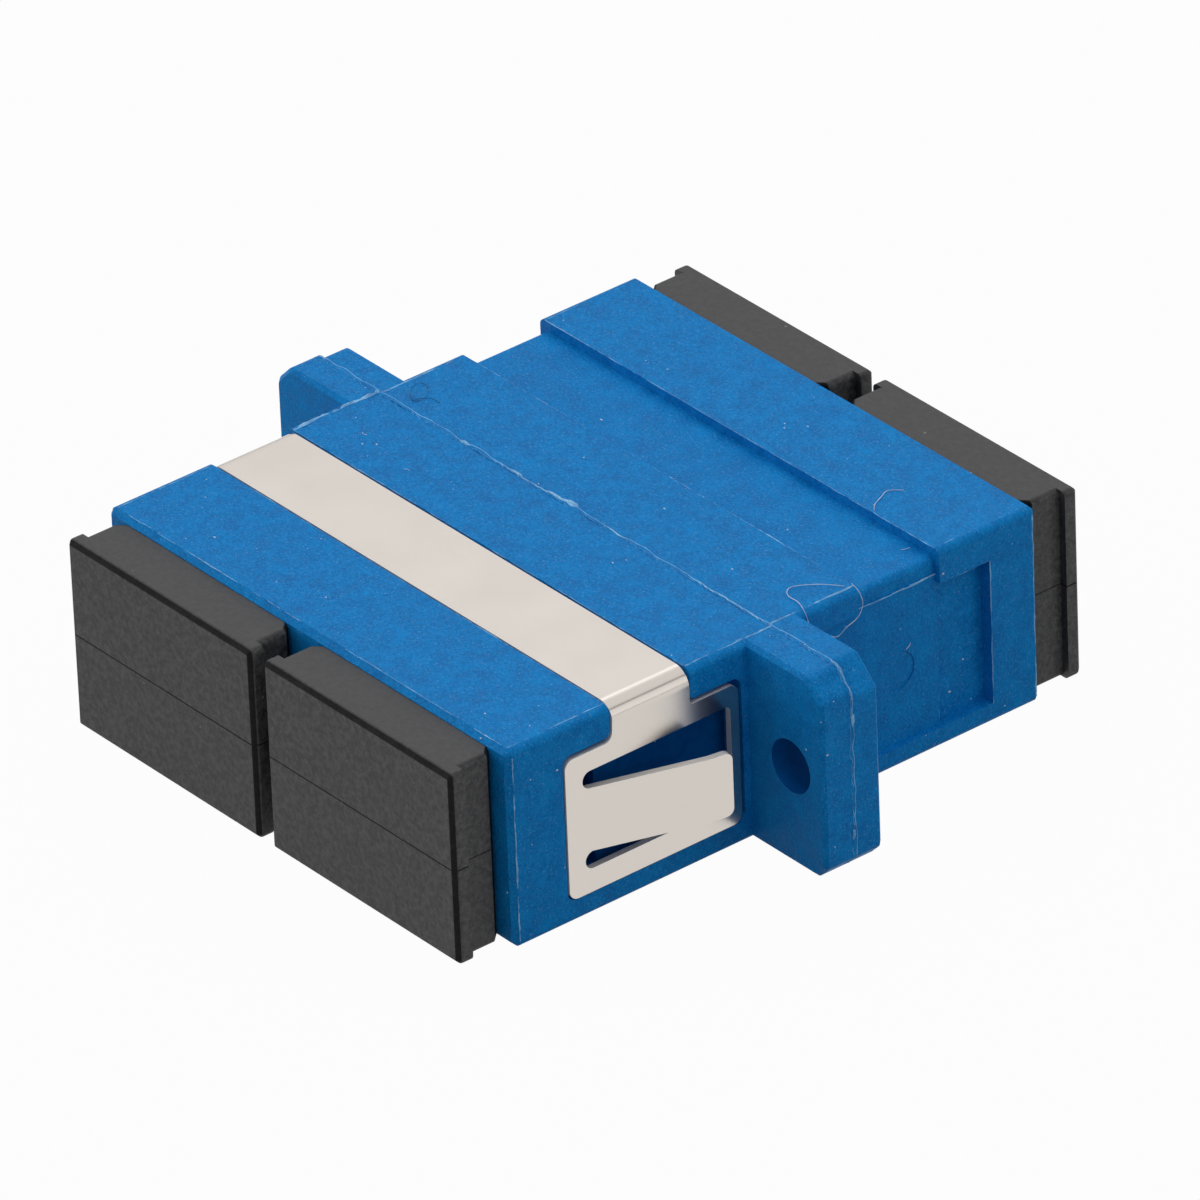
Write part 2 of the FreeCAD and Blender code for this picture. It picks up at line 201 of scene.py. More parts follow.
def soften_edges(shape, width_mm, corners, segments=2, material=-1):
    """Round a shape's outward edges where its faces turn by an angle in the range corners."""
    low, high = (math.radians(angle) for angle in corners)
    sharp = [e for e in shape.edges
             if len(e.link_faces) == 2 and low < e.calc_face_angle_signed(0.0) <= high]
    bmesh.ops.bevel(shape, geom=sharp, offset=width_mm * MM, offset_type="OFFSET", affect="EDGES",
                    segments=segments, profile=0.5, clamp_overlap=True, material=material)


def finished_mesh(shape, name, crisp=35.0, crisp_finishes=False):
    """Turn a bmesh into a mesh that shades smoothly but for corners over an angle in degrees.

    With crisp_finishes, the shading also breaks where one finish meets another.
    """
    limit = math.radians(crisp)
    for face in shape.faces:
        face.smooth = True
    for edge in shape.edges:
        sides = edge.link_faces
        edge.smooth = len(sides) == 2 and edge.calc_face_angle(0.0) < limit and not (
            crisp_finishes and sides[0].material_index != sides[1].material_index)
    mesh = bpy.data.meshes.new(name)
    shape.to_mesh(mesh)
    shape.free()
    return mesh


def add_ridge(shape, start, end, outward, width_mm, height_mm, cover, seed):
    """A thin uneven raised line from start to end, in mm, on a surface that faces outward.

    Its size drifts about cover, a share of height_mm: where it comes to 0 or less, the line
    dips below the surface. Its path wanders by a share of width_mm.
    """
    step_mm, swell_mm, grain_mm, wander_mm = 0.1, 1.3, 0.21, 0.7   # lengths of each unevenness
    crest_sink, rim_sink, largest = 0.004, 0.012, 1.4
    start, end, outward = Vector(start), Vector(end), Vector(outward).normalized()
    across = outward.cross((end - start).normalized())
    steps = max(2, round((end - start).length / step_mm))
    made = bmesh.ops.create_grid(shape, x_segments=steps, y_segments=2, size=0.5)
    for vert in made["verts"]:
        place = start.lerp(end, vert.co.x + 0.5)
        side = round(2 * vert.co.y)      # -1 and 1 along the line's rims, 0 along its crest
        swell = noise.noise(place / swell_mm + Vector((seed, 0, 0)))
        grain = noise.noise(place / grain_mm + Vector((0, seed, 0)))
        wander = noise.noise(place / wander_mm + Vector((0, 0, seed)))
        size = min(max(cover + 1.1 * swell + 0.8 * grain, 0.0), largest)
        lean = 0.5 * side * (0.3 + 0.7 * size) + 0.35 * wander + 0.2 * grain
        rise = height_mm * size - crest_sink if side == 0 else -rim_sink
        vert.co = (place + across * lean * width_mm + outward * rise) * MM


def keep_flat(piece):
    """Weight the shading by area, so that flat faces stay flat beside their rounded edges."""
    weighted = piece.modifiers.new("flat_faces", "WEIGHTED_NORMAL")
    weighted.keep_sharp = True
    weighted.weight = 80


# ---------------------------------------------------------------- settings

class HousingSettings(PropertyGroup):
    """Moulded blue halves."""
    colour: FloatVectorProperty(
        name="Blue", description="Colour of the moulded halves",
        size=4, subtype="COLOR", min=0.0, max=1.0, default=linear("#006CB5"))
    bloom: FloatVectorProperty(
        name="Bloom", description="Paler blue of the texture's raised grains",
        size=4, subtype="COLOR", min=0.0, max=1.0, default=linear("#0E8AD4"))
    flash: FloatVectorProperty(
        name="Flash", description="Whitened blue of thin raised mould lines",
        size=4, subtype="COLOR", min=0.0, max=1.0, default=linear("#9CD2F8"))
    grain: FloatProperty(
        name="Grain", description="Width of the spark-eroded texture's pits",
        unit="LENGTH", default=0.13 * MM)
    edge: FloatProperty(
        name="Edge", description="Rounding of the moulded edges",
        unit="LENGTH", default=0.05 * MM)


class ClipSettings(PropertyGroup):
    """Folded steel clip."""
    colour: FloatVectorProperty(
        name="Steel", description="Colour of the rolled stainless sheet",
        size=4, subtype="COLOR", min=0.0, max=1.0, default=linear("#D2CBC4"))
    roughness: FloatProperty(
        name="Roughness", description="How dull the rolled sheet is",
        min=0.0, max=1.0, default=0.20)
    burr: FloatProperty(
        name="Burr", description="Rounding of the sheet's cut edges",
        unit="LENGTH", default=0.055 * MM)


class CapSettings(PropertyGroup):
    """Black dust caps."""
    top: FloatVectorProperty(
        name="Tops", description="Colour of the caps' smooth tops and bottoms",
        size=4, subtype="COLOR", min=0.0, max=1.0, default=linear("#272728"))
    face: FloatVectorProperty(
        name="Faces", description="Colour of the caps' textured ends and sides",
        size=4, subtype="COLOR", min=0.0, max=1.0, default=linear("#2C2C2D"))
    edge: FloatProperty(
        name="Edge", description="Rounding of the caps' edges",
        unit="LENGTH", default=0.07 * MM)
    parting: FloatProperty(
        name="Parting line", description="Depth of the mould's parting line",
        unit="LENGTH", default=0.03 * MM)


class AdapterSettings(PropertyGroup):
    """Settings of the whole adapter, one group for each kind of piece."""
    housing: PointerProperty(type=HousingSettings)
    clip: PointerProperty(type=ClipSettings)
    caps: PointerProperty(type=CapSettings)


# ---------------------------------------------------------------- materials

def drifting_colour(name, values, deep, pale, size_mm, detail):
    """A plain finish whose colour drifts between a deep and a pale one over about size_mm."""
    material, tree, shader, place = start_material(name, values)
    drift = add_node(tree, "ShaderNodeTexNoise", values={"Scale": per_metre(size_mm),
                                                         "Detail": detail},
                     links={"Vector": (place, "Object")})
    tint = add_node(tree, "ShaderNodeMix", {"data_type": "RGBA"},
                    {"A": linear(deep), "B": linear(pale)}, {"Factor": (drift, "Fac")})
    tree.links.new(tint.outputs["Result"], shader.inputs["Base Color"])
    return material


def moulded_blue(settings):
    """PBT polyester from a spark-eroded mould: a dense matte blue, pitted, mottled and flecked.

    The real pits are about 0.04 mm wide, and are drawn at three times that so that they show.
    """
    material, tree, shader, place = start_material("moulded_blue_pbt", {"IOR": 1.16})
    grain = add_node(tree, "ShaderNodeTexNoise", values={"Scale": per_metre(settings.grain / MM),
                                                         "Detail": 4.0, "Roughness": 0.7},
                     links={"Vector": (place, "Object")})
    cloud = add_node(tree, "ShaderNodeTexNoise", values={"Scale": per_metre(0.9), "Detail": 4.0},
                     links={"Vector": (place, "Object")})
    both = add_node(tree, "ShaderNodeMix", {"data_type": "FLOAT"}, {"Factor": 0.35},
                    {"A": (grain, "Fac"), "B": (cloud, "Fac")})
    amount = add_node(tree, "ShaderNodeMapRange", values={"From Min": 0.38, "From Max": 0.62},
                      links={"Value": (both, "Result")})
    tint = add_node(tree, "ShaderNodeMix", {"data_type": "RGBA"},
                    {"A": settings.colour, "B": settings.bloom}, {"Factor": (amount, "Result")})
    fleck = add_node(tree, "ShaderNodeTexNoise", values={"Scale": per_metre(0.075), "Detail": 1.0},
                     links={"Vector": (place, "Object")})
    flecked = add_node(tree, "ShaderNodeMapRange", values={"From Min": 0.63, "From Max": 0.75,
                                                           "To Min": 0.0, "To Max": 0.5},
                       links={"Value": (fleck, "Fac")})
    worn = add_node(tree, "ShaderNodeMix", {"data_type": "RGBA"}, {"B": linear("#6FA8DC")},
                    {"Factor": (flecked, "Result"), "A": (tint, "Result")})
    tree.links.new(worn.outputs["Result"], shader.inputs["Base Color"])
    dull = add_node(tree, "ShaderNodeMapRange", values={"From Min": 0.3, "From Max": 0.7,
                                                        "To Min": 0.42, "To Max": 0.58},
                    links={"Value": (cloud, "Fac")})
    tree.links.new(dull.outputs["Result"], shader.inputs["Roughness"])
    pits = add_node(tree, "ShaderNodeBump", values={"Strength": 0.8, "Distance": 0.03 * MM},
                    links={"Height": (grain, "Fac")})
    tree.links.new(pits.outputs["Normal"], shader.inputs["Normal"])
    return material


def painted_shade_blue(name, deep, pale):
    """The same polyester, smoother, with the shade of holes, wells and creases painted into its
    dark colour.
    """
    return drifting_colour(name, {"Roughness": 0.7, "Specular IOR Level": 0.05}, deep, pale,
                           size_mm=0.5, detail=4.0)


def flash_blue(settings, name, least, most):
    """The polyester of a mould line or rubbed edge: whitened in patches, between two shares."""
    material, tree, shader, place = start_material(name, {"Roughness": 0.55, "IOR": 1.3})
    patches = add_node(tree, "ShaderNodeTexNoise", values={"Scale": per_metre(0.9), "Detail": 6.0,
                                                           "Roughness": 0.75},
                       links={"Vector": (place, "Object")})
    amount = add_node(tree, "ShaderNodeMapRange", values={"From Min": 0.4, "From Max": 0.62,
                                                          "To Min": least, "To Max": most},
                      links={"Value": (patches, "Fac")})
    tint = add_node(tree, "ShaderNodeMix", {"data_type": "RGBA"},
                    {"A": settings.colour, "B": settings.flash}, {"Factor": (amount, "Result")})
    tree.links.new(tint.outputs["Result"], shader.inputs["Base Color"])
    return material


def rolled_steel(settings):
    """Half-hard stainless sheet: bright and smooth, with faint rolling lines along the strip.

    The real lines are a few thousandths of a millimetre apart, far too fine to show, and are
    drawn 0.1 mm apart.
    """
    material, tree, shader, place = start_material(
        "rolled_stainless", {"Base Color": settings.colour, "Metallic": 1.0})
    along = add_node(tree, "ShaderNodeMapping", values={"Scale": (0.04, 1.0, 0.04)},
                     links={"Vector": (place, "Object")})
    lines = add_node(tree, "ShaderNodeTexNoise", values={"Scale": per_metre(0.1), "Detail": 3.0,
                                                         "Roughness": 0.6},
                     links={"Vector": (along, "Vector")})
    clouds = add_node(tree, "ShaderNodeTexNoise", values={"Scale": per_metre(3.0), "Detail": 2.0},
                      links={"Vector": (place, "Object")})
    dull = add_node(tree, "ShaderNodeMapRange", values={"From Min": 0.3, "From Max": 0.7,
                                                        "To Min": settings.roughness - 0.02,
                                                        "To Max": settings.roughness + 0.04},
                    links={"Value": (clouds, "Fac")})
    tree.links.new(dull.outputs["Result"], shader.inputs["Roughness"])
    scored = add_node(tree, "ShaderNodeBump", values={"Strength": 0.2, "Distance": 0.001 * MM},
                      links={"Height": (lines, "Fac")})
    tree.links.new(scored.outputs["Normal"], shader.inputs["Normal"])
    return material


def sheared_steel(settings):
    """The sheet's cut edge: brighter, and torn by the punch in places about 0.08 mm wide."""
    material, tree, shader, place = start_material(
        "sheared_stainless_edge", {"Base Color": linear("#EFEAE4"), "Metallic": 0.55})
    torn = add_node(tree, "ShaderNodeTexNoise", values={"Scale": per_metre(0.08), "Detail": 2.0},
                    links={"Vector": (place, "Object")})
    dull = add_node(tree, "ShaderNodeMapRange", values={"To Min": 0.35, "To Max": 0.65},
                    links={"Value": (torn, "Fac")})
    tree.links.new(dull.outputs["Result"], shader.inputs["Roughness"])
    return material


def soft_black(name, shade, pale, roughness, ior):
    """Low-density polyethylene: a waxy charcoal, cloudy and rubbed, with a few pale specks.

    The clouds are the skin's rubbed patches, about 0.26 mm wide, and the specks are about
    0.1 mm wide and 1.5 mm apart.
    """
    material, tree, shader, place = start_material(name, {"IOR": ior})
    clouds = add_node(tree, "ShaderNodeTexNoise", values={"Scale": per_metre(0.26), "Detail": 5.0,
                                                          "Roughness": 0.8},
                      links={"Vector": (place, "Object")})
    spread = add_node(tree, "ShaderNodeMapRange", values={"From Min": 0.4, "From Max": 0.62},
                      links={"Value": (clouds, "Fac")})
    tint = add_node(tree, "ShaderNodeMix", {"data_type": "RGBA"},
                    {"A": shade, "B": pale}, {"Factor": (spread, "Result")})
    fleck = add_node(tree, "ShaderNodeTexVoronoi", values={"Scale": per_metre(1.5)},
                     links={"Vector": (place, "Object")})
    near = add_node(tree, "ShaderNodeMapRange", values={"From Min": 0.03, "From Max": 0.045,
                                                        "To Min": 0.55, "To Max": 0.0},
                    links={"Value": (fleck, "Distance")})
    dusted = add_node(tree, "ShaderNodeMix", {"data_type": "RGBA"}, {"B": linear("#9A9894")},
                      {"Factor": (near, "Result"), "A": (tint, "Result")})
    tree.links.new(dusted.outputs["Result"], shader.inputs["Base Color"])
    dull = add_node(tree, "ShaderNodeMapRange", values={"From Min": 0.3, "From Max": 0.7,
                                                        "To Min": roughness - 0.07,
                                                        "To Max": roughness + 0.07},
                    links={"Value": (clouds, "Fac")})
    tree.links.new(dull.outputs["Result"], shader.inputs["Roughness"])
    skin = add_node(tree, "ShaderNodeTexNoise", values={"Scale": per_metre(0.22), "Detail": 5.0},
                    links={"Vector": (place, "Object")})
    uneven = add_node(tree, "ShaderNodeBump", values={"Strength": 0.5, "Distance": 0.012 * MM},
                      links={"Height": (skin, "Fac")})
    tree.links.new(uneven.outputs["Normal"], shader.inputs["Normal"])
    return material


def pale_dust():
    """Household dust and lint: off-white specks and fibres, each a little different."""
    return drifting_colour("settled_dust", {"Roughness": 0.9, "Specular IOR Level": 0.1},
                           "#A4BEDC", "#F2F3F4", size_mm=0.6, detail=2.0)


def natural_latch():
    """Unfilled acetal: a milky white moulding with a slight gloss."""
    return drifting_colour("natural_acetal", {"Roughness": 0.35, "IOR": 1.48},
                           "#DDD9CC", "#EDEAE0", size_mm=1.5, detail=3.0)


def ground_ceramic():
    """Zirconia, ground round: a hard glossy white with a very fine grain.

    The real grain is under a thousandth of a millimetre, and is drawn at 0.08 mm.
    """
    return drifting_colour("ground_zirconia", {"Roughness": 0.18, "IOR": 2.1},
                           "#ECEBE4", "#F6F5F0", size_mm=0.08, detail=2.0)


def white_paper():
    """White paper that is seen as white, and still takes the object's faint shadow."""
    white_share = 0.97      # the rest of what is seen is the paper's own shade, with the shadow
    material, tree, shader, _ = start_material("matt_white_paper", {
        "Base Color": linear("#ACACAC"), "Roughness": 0.9, "Specular IOR Level": 0.0})
    ray = add_node(tree, "ShaderNodeLightPath")
    seen = add_node(tree, "ShaderNodeMath", {"operation": "MAXIMUM"},
                    links={0: (ray, "Is Camera Ray"), 1: (ray, "Is Glossy Ray")})
    seen = add_node(tree, "ShaderNodeMath", {"operation": "MAXIMUM"},
                    links={0: (seen, 0), 1: (ray, "Is Transmission Ray")})
    share = add_node(tree, "ShaderNodeMath", {"operation": "MULTIPLY"}, {1: white_share},
                     {0: (seen, 0)})
    white = add_node(tree, "ShaderNodeEmission", values={"Color": (1, 1, 1, 1), "Strength": 1.0})
    surface = add_node(tree, "ShaderNodeMixShader", links={0: (share, 0), 1: (shader, "BSDF"),
                                                           2: (white, "Emission")})
    tree.links.new(surface.outputs["Shader"], tree.nodes["Material Output"].inputs["Surface"])
    return material


# ---------------------------------------------------------------- operators

class ADAPTER_OT_housings(Operator):
    """Finish both moulded halves, with their edges rounded and rubbed"""
    bl_idname = "adapter.housings"
    bl_label = "Moulded halves"

    RUBBED, RECESSED = 1, 2               # slots of the worn edges, and of holes and wells, whose shade is painted
    BLUNT_SHARE = 1.8                     # width of the blunt edges over that of the square ones
    HOLE_SLACK = 0.03                     # how far off its circle a screw hole's wall may be
    TONGUE_REACH = 2.0                    # from just behind the clip's plate to its tongue's end
    WELL_INNER, WELL_TOP = 10.0, 3.6      # the wells' walls are further out, and less high
    WELL_ENDS = (CLIP_BAND[0] - 2.4, -0.5)

    def execute(self, context):
        settings = context.scene.adapter.housing
        # the third finish is painted shade, for the holes and the well
        finishes = (moulded_blue(settings), flash_blue(settings, "rubbed_blue_edge", 0.08, 0.5),
                    painted_shade_blue("painted_shade_recess_blue_pbt", "#004488", "#0060AC"))
        mounts = {mount["name"]: mount for mount in frame["record"]["mounts"]}
        screws = mounts["flange_screws"]["dims"]
        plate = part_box("spring_clip")[1][0] / MM - self.TONGUE_REACH
        for name in HOUSINGS:
            shape = merged_copy(name)
            soften_edges(shape, self.BLUNT_SHARE * settings.edge / MM, BLUNT_CORNERS)
            soften_edges(shape, settings.edge / MM, SQUARE_CORNERS, material=self.RUBBED)
            # the screw holes' walls and the well behind the clip's tongue take the painted shade
            for face in shape.faces:
                if self.in_screw_hole(face, screws) or self.in_clip_well(face, plate):
                    face.material_index = self.RECESSED
            mesh = finished_mesh(shape, name + "_moulding")
            piece = add_piece(name + "_moulding", mesh, ROOT, (name,))
            give_material(piece, *finishes)
            keep_flat(piece)
        return {"FINISHED"}

    def in_screw_hole(self, face, screws):
        """Whether the face is in the wall of one of the flange's screw holes."""
        middle = face.calc_center_median() / MM
        reach = math.hypot(abs(middle.x) - screws["spacing_x_mm"] / 2, middle.z)
        return abs(reach - screws["hole_r_mm"]) < self.HOLE_SLACK and abs(face.normal.y) < 0.2

    def in_clip_well(self, face, plate):
        """Whether the face is the wall behind the clip's tongue, further in than the plate."""
        middle = face.calc_center_median() / MM
        near, far = self.WELL_ENDS
        return (self.WELL_INNER < abs(middle.x) < plate and abs(face.normal.x) > 0.9
                and near < middle.y < far and abs(middle.z) < self.WELL_TOP)


class ADAPTER_OT_mould_lines(Operator):
    """Add the fine raised lines that the mould left along the halves' edges"""
    bl_idname = "adapter.mould_lines"
    bl_label = "Mould lines"

    PANEL_START = CHANNEL[0] - 1.0        # the line over the sunk panel starts here
    WINDOW_START = CHANNEL[1] + 1.0       # and the one over its window here
    STEP_TOP, STEP_FOOT = PANEL_TOP - 0.4, PANEL_FOOT + 0.2     # line from panel to window

    def execute(self, context):
        settings = context.scene.adapter.housing
        whitened = flash_blue(settings, "whitened_mould_line", 0.35, 1.0)
        for name, lines in (("front_mould_lines", self.front()),
                            ("rear_mould_lines", self.rear())):
            shape = bmesh.new()
            for seed, line in enumerate(lines):
                add_ridge(shape, *line, seed=seed)
            piece = add_piece(name, finished_mesh(shape, name), ROOT)
            give_material(piece, whitened)
        return {"FINISHED"}

    def front(self):
        """The lines of the front half, each as add_ridge takes it, from start to cover."""
        up = (0, 0, 1)
        lines = []
        mouth = FRONT_MOUTH + MOUTH_EDGE
        for side in (-1, 1):
            x = side * (FRONT_SIDE - EDGE)
            edge = side * FRONT_SIDE
            seam_width = 0.24 if side < 0 else 0.13     # the left one is smeared wider
            lines += [
                ((x, mouth, TOP), (x, CLIP_BAND[0], TOP), up, 0.08, 0.025, 0.45),
                ((x, CLIP_BAND[1], TOP), (x, SEAM, TOP), up, seam_width, 0.05, 0.85),
                ((edge, mouth, TOP - EDGE), (edge, mouth, EDGE - TOP), (side, 0, 0),
                 0.10, 0.035, 0.55),
            ]
        for y, width, cover in ((mouth, 0.08, 0.0), (CLIP_BAND[0], 0.07, -0.15),
                                (CLIP_BAND[1], 0.07, -0.15)):
            lines.append(((EDGE - FRONT_SIDE, y, TOP), (FRONT_SIDE - EDGE, y, TOP), up,
                          width, 0.02, cover))
        return lines

    def rear(self):
        """The lines of the rear half, in the same way."""
        up = (0, 0, 1)
        lines = []
        mouth = REAR_MOUTH - MOUTH_EDGE
        for side in (-1, 1):
            x = side * (REAR_SIDE - EDGE)
            edge, panel, out = side * REAR_SIDE, side * PANEL_SIDE, (side, 0, 0)
            lines += [
                ((x, SEAM, TOP), (x, CHANNEL[0], TOP), up, 0.13, 0.04, 0.75),
                ((x, CHANNEL[1], TOP), (x, mouth, TOP), up, 0.08, 0.02, 0.25),
                ((edge, mouth, TOP - EDGE), (edge, mouth, EDGE - TOP), out, 0.10, 0.03, 0.6),
                ((edge, WINDOW_END, WINDOW_TOP), (edge, WINDOW_END, PANEL_FOOT), out,
                 0.07, 0.025, 0.5),
                ((edge, self.WINDOW_START, WINDOW_TOP), (edge, WINDOW_END, WINDOW_TOP), out,
                 0.06, 0.02, 0.25),
                ((panel, self.PANEL_START, PANEL_TOP), (panel, CHANNEL[1], PANEL_TOP),
                 (side, 0, 1), 0.09, 0.03, 0.7),
                ((panel, CHANNEL[1], self.STEP_TOP), (panel, CHANNEL[1], self.STEP_FOOT), out,
                 0.05, 0.01, 0.05),
            ]
        for y, cover in ((CHANNEL[0], 0.2), (CHANNEL[1], 0.15)):
            lines.append(((EDGE - REAR_SIDE, y, TOP), (REAR_SIDE - EDGE, y, TOP), up,
                          0.07, 0.02, cover))
        return lines


class ADAPTER_OT_weld_bead(Operator):
    """Add the bead of flash squeezed out where the two halves are welded"""
    bl_idname = "adapter.weld_bead"
    bl_label = "Weld bead"

    BEAD = (0.23, 0.07, 0.6)      # width, height and cover, as add_ridge takes them
    CREASE = (0.07, 0.012, 0.6)
    SHORTEST = 0.02               # shorter stretches of the outline get no bead
    # thicker spots of the bead, and drips below and beside the ears: middle and half size
    BLOBS = (
        ((-0.25, 1.72, 4.6), (0.42, 0.13, 0.05)), ((-1.1, 1.63, 4.6), (0.5, 0.07, 0.04)),
        ((-6.9, 1.58, 4.6), (0.25, 0.08, 0.04)), ((-3.6, 1.6, 4.6), (0.35, 0.07, 0.04)),
        ((15.7, 1.6, -4.55), (0.24, 0.13, 0.11)), ((16.5, 1.5, -4.2), (0.14, 0.1, 0.12)),
        ((17.35, 1.6, 2.4), (0.05, 0.09, 0.28)), ((17.35, 1.5, -2.9), (0.05, 0.08, 0.2)),
        ((-15.9, 1.55, -4.54), (0.2, 0.1, 0.1)),
    )
    # painted shade of the creases beside the bead and beside the left edge's mould line, drawn as
    # low dark raised lines: start and end
    CREASES = (
        ((-12.3, 1.44, 4.6), (12.4, 1.44, 4.6)), ((-12.3, -2.85, 4.6), (-12.3, 1.4, 4.6)),
        ((13.0, 1.45, 4.6), (16.2, 1.45, 4.6)),
    )

    def execute(self, context):
        settings = context.scene.adapter.housing
        shape = bmesh.new()
        outline = self.flange_outline()
        for start, end in zip(outline, outline[1:] + outline[:1]):
            along = end - start
            if along.length > self.SHORTEST:
                # laid crest down: its rims stand up as two fine lips, and its middle is sunk
                inward = (along.z, 0, -along.x)
                add_ridge(shape, start, end, inward, *self.BEAD, seed=1)
        bmesh.ops.reverse_faces(shape, faces=shape.faces)     # its faces look outward all the same
        for place, size in self.BLOBS:
            self.add_blob(shape, Vector(place), size)
        piece = add_piece("weld_bead", finished_mesh(shape, "weld_bead"), ROOT)
        give_material(piece, flash_blue(settings, "weld_flash", 0.4, 1.0))
        # low raised lines that carry the painted shade of the creases beside the bead
        shape = bmesh.new()
        for seed, (start, end) in enumerate(self.CREASES, start=5):
            add_ridge(shape, start, end, (0, 0, 1), *self.CREASE, seed=seed)
        piece = add_piece("weld_crease_painted_shade", finished_mesh(shape, "weld_crease_painted_shade"), ROOT)
        give_material(piece, painted_shade_blue("painted_crease_shade_blue_pbt", "#002C5C", "#004480"))
        return {"FINISHED"}

    def add_blob(self, shape, place, size):
        """A lump of flash with its middle at place and its half sizes along X, Y and Z."""
        made = bmesh.ops.create_icosphere(shape, subdivisions=3, radius=1.0)
        for vert in made["verts"]:
            rough = 1.0 + 0.5 * noise.noise(vert.co * 1.7 + place)
            vert.co = (place + Vector(a * b for a, b in zip(vert.co * rough, size))) * MM

    def flange_outline(self):
        """Corners in mm of the front flange's outline at the seam, clockwise seen from -Y."""
        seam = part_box("front_housing")[1][1]
        mesh = frame["nodes"]["front_housing"].data
        spots = sorted({(round(v.co.x / MM, 4), round(v.co.z / MM, 4)) for v in mesh.vertices
                        if abs(v.co.y - seam) < NEAR * MM})
        hull = []
        for chain in (spots, spots[::-1]):
            half = []
            for spot in chain:
                while len(half) > 1 and self.turn(half[-2], half[-1], spot) >= -1e-6:
                    half.pop()
                half.append(spot)
            hull += half[:-1]
        return [Vector((x, seam / MM, z)) for x, z in hull]

    def turn(self, a, b, c):
        """Above 0 where the way from a over b to c turns left, below 0 where it turns right."""
        return (b[0] - a[0]) * (c[1] - a[1]) - (b[1] - a[1]) * (c[0] - a[0])


class ADAPTER_OT_clip(Operator):
    """Finish the folded steel clip, with its cut edges dressed"""
    bl_idname = "adapter.clip"
    bl_label = "Panel clip"

    SHEARED = 1                   # slot of the cut edges
    PLATE_TOP = TOP - 1.1         # below this the sheet is a flat side plate
    TURNED = 0.6                  # a cut edge's normal points at least this much along the sheet
    BAND_FOOT = TOP - 0.75        # above this the band is pressed down, and here its gaps widen
    SUNK = 0.03                   # how far below the top the band ends up
    MARGIN = 0.2                  # the band's two edges lie within this of its recess's ends
    FRONT_GAP, REAR_GAP = 0.05, 0.03      # what the gaps are widened by
    FADE = 0.3                    # they widen from this far below that place to as far above it

    def execute(self, context):
        settings = context.scene.adapter.clip
        shape = merged_copy("spring_clip")
        self.sit_flush(shape)
        soften_edges(shape, settings.burr / MM, SQUARE_CORNERS, material=self.SHEARED)
        shape.normal_update()
        for face in shape.faces:
            on_side = abs(face.calc_center_median().z) < self.PLATE_TOP * MM
            if abs(face.normal.y) > self.TURNED or on_side and abs(face.normal.z) > self.TURNED:
                face.material_index = self.SHEARED
        mesh = finished_mesh(shape, "spring_clip_sheet", crisp_finishes=True)
        piece = add_piece("spring_clip_sheet", mesh, ROOT, ("spring_clip",))
        give_material(piece, rolled_steel(settings), sheared_steel(settings))
        keep_flat(piece)
        return {"FINISHED"}

    def sit_flush(self, shape):
        """Press the band into its recess, a little below the top, with a gap along each edge."""
        low = self.BAND_FOOT
        share = (TOP - self.SUNK - low) / (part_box("spring_clip")[1][2] / MM - low)
        near, far = CLIP_BAND[0] + self.MARGIN, CLIP_BAND[1] - self.MARGIN
        for vert in shape.verts:
            x, y, z = vert.co / MM
            pinch = min(max((z - low + self.FADE) / (2 * self.FADE), 0.0), 1.0)
            if y < near:
                y += self.FRONT_GAP * pinch
            elif y > far:
                y -= self.REAR_GAP * pinch
            vert.co = Vector((x, y, low + (z - low) * share if z > low else z)) * MM


